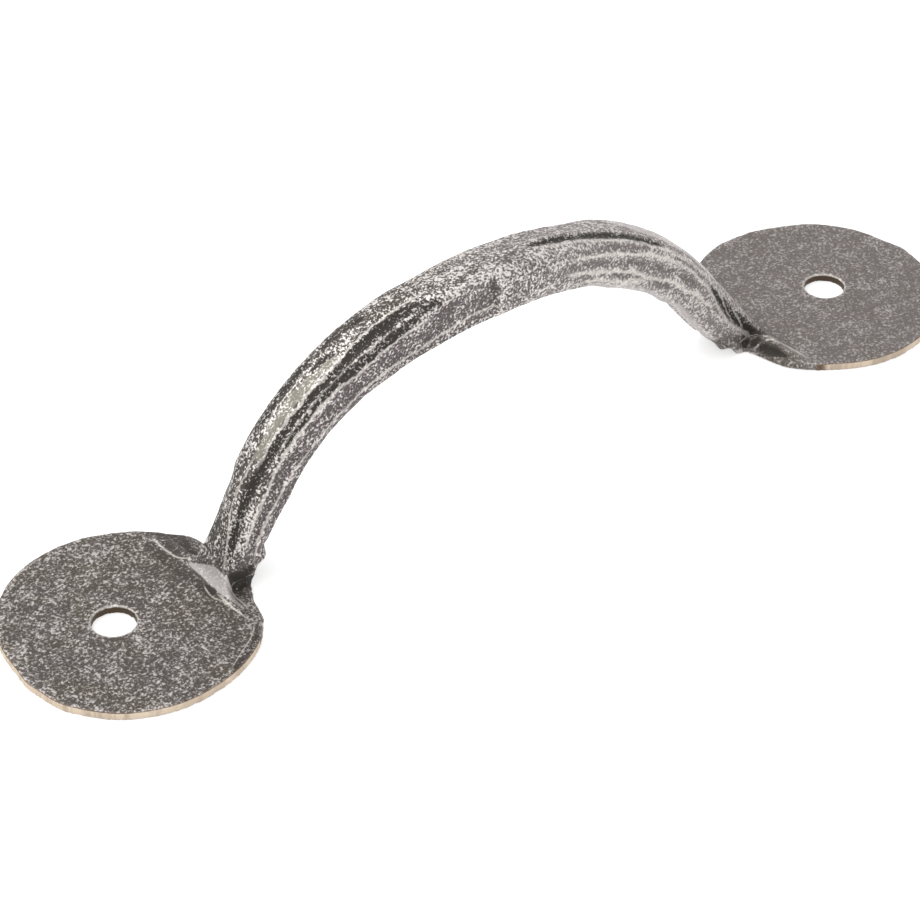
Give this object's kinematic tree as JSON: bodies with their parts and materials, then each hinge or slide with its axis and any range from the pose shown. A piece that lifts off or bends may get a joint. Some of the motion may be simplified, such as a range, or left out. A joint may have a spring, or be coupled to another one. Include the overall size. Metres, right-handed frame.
{
  "type": "bow pull handle",
  "caption": "Rustic bow pull handle: sheet steel rolled into a fluted channel and bent into an arch, with a flat round fixing plate at each foot, aged pewter look.",
  "frame": {"origin": "middle of the handle on the face of the door, half way between the two screw holes, at the undersides of the plates", "axes": "+X along the handle from the left foot to the right one, +Y across it and up the picture, +Z out of the door towards the hand"},
  "size_m": [0.1506, 0.0344, 0.032],
  "materials": {
    "pewter_patina": "forged mild steel with a dark antique pewter patina, fine pale specks, and bright rubbed ridges and edges"
  },
  "bodies": {
    "root": {"bow_handle": "pewter_patina"}
  },
  "joints": []
}
